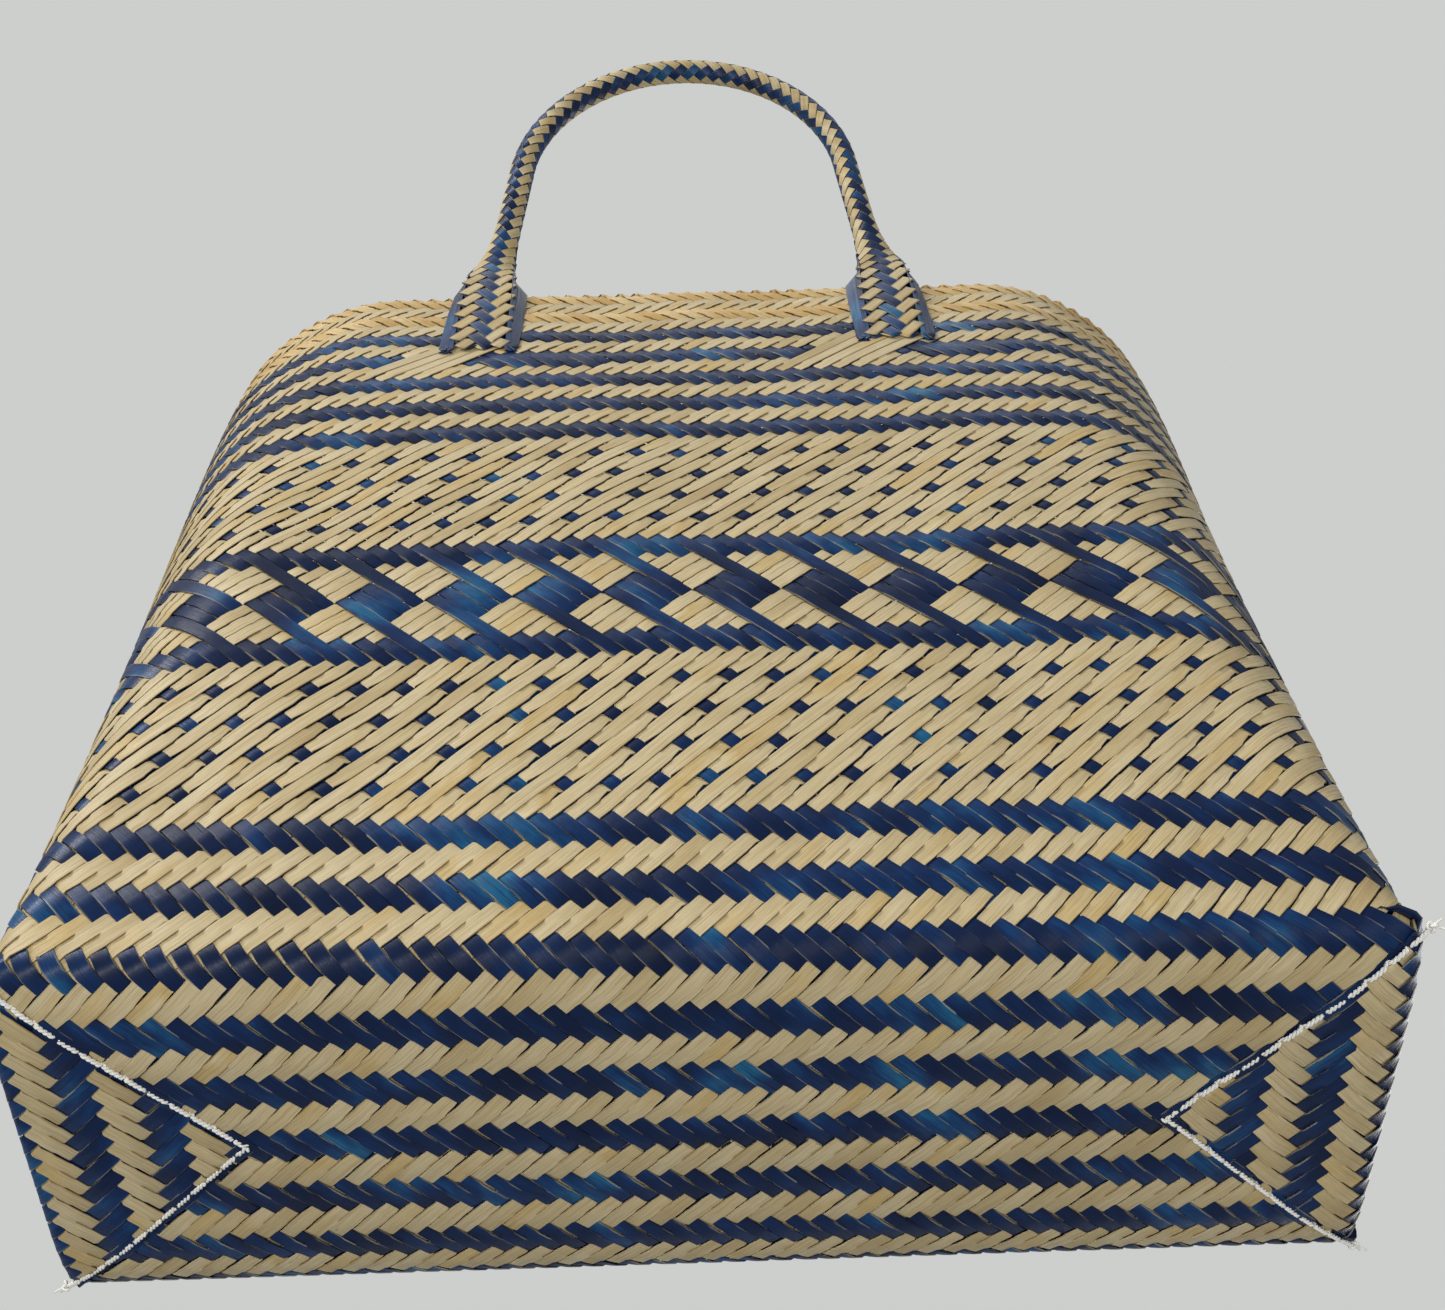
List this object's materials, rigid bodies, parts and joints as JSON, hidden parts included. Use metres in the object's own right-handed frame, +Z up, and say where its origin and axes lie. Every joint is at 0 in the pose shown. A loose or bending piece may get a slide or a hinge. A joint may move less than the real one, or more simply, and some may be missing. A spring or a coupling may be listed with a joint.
{
  "type": "hand-plaited straw tote bag",
  "caption": "Open-topped tote plaited on the bias from natural and navy straw, with a folded flat base, a folded undyed rim and plaited arched handles that tilt.",
  "frame": {"origin": "centre of the flat underside of the base, on the surface the bag stands on", "axes": "+Z up through the mouth; +X along the bag's width, to the right when the front wall is seen; the front wall faces -Y"},
  "size_m": [0.38, 0.2812, 0.4854],
  "materials": {
    "plaited_straw_navy_and_natural": "dyed and undyed split straw, satin",
    "undyed_straw": "undyed split straw, satin",
    "plaited_straw_handle": "dyed and undyed split straw, satin",
    "cane_core": "plain cane, hidden",
    "cotton_thread": "twisted cotton, matt"
  },
  "bodies": {
    "bag": {"base_mat": "plaited_straw_navy_and_natural", "end_flap_left": "plaited_straw_navy_and_natural", "end_flap_right": "plaited_straw_navy_and_natural", "front_wall": "plaited_straw_navy_and_natural", "back_wall": "plaited_straw_navy_and_natural", "left_side_wall": "plaited_straw_navy_and_natural", "right_side_wall": "plaited_straw_navy_and_natural", "rim_band": "undyed_straw", "rim_lip": "undyed_straw", "rim_lining": "undyed_straw", "seam_thread_front_left": "cotton_thread", "seam_thread_front_right": "cotton_thread", "seam_thread_back_left": "cotton_thread", "seam_thread_back_right": "cotton_thread", "seam_knots": "cotton_thread", "front_root_left_tab": "plaited_straw_handle", "front_root_left_tail": "plaited_straw_handle", "front_root_left_collar": "plaited_straw_handle", "front_root_right_tab": "plaited_straw_handle", "front_root_right_tail": "plaited_straw_handle", "front_root_right_collar": "plaited_straw_handle", "back_root_left_tab": "plaited_straw_handle", "back_root_left_tail": "plaited_straw_handle", "back_root_left_collar": "plaited_straw_handle", "back_root_right_tab": "plaited_straw_handle", "back_root_right_tail": "plaited_straw_handle", "back_root_right_collar": "plaited_straw_handle"},
    "front_handle": {"front_handle_braid": "plaited_straw_handle", "front_handle_core": "cane_core"},
    "back_handle": {"back_handle_braid": "plaited_straw_handle", "back_handle_core": "cane_core"}
  },
  "joints": [
    {"name": "front_handle_tilt", "type": "hinge", "parent": "bag", "child": "front_handle", "pos_m": [0, -0.085, 0.367], "axis": [1, 0, 0], "range_deg": [-60, 25], "stiffness_Nm_per_rad": 0.3},
    {"name": "back_handle_tilt", "type": "hinge", "parent": "bag", "child": "back_handle", "pos_m": [0, 0.085, 0.367], "axis": [-1, 0, 0], "range_deg": [-60, 25], "stiffness_Nm_per_rad": 0.3}
  ]
}
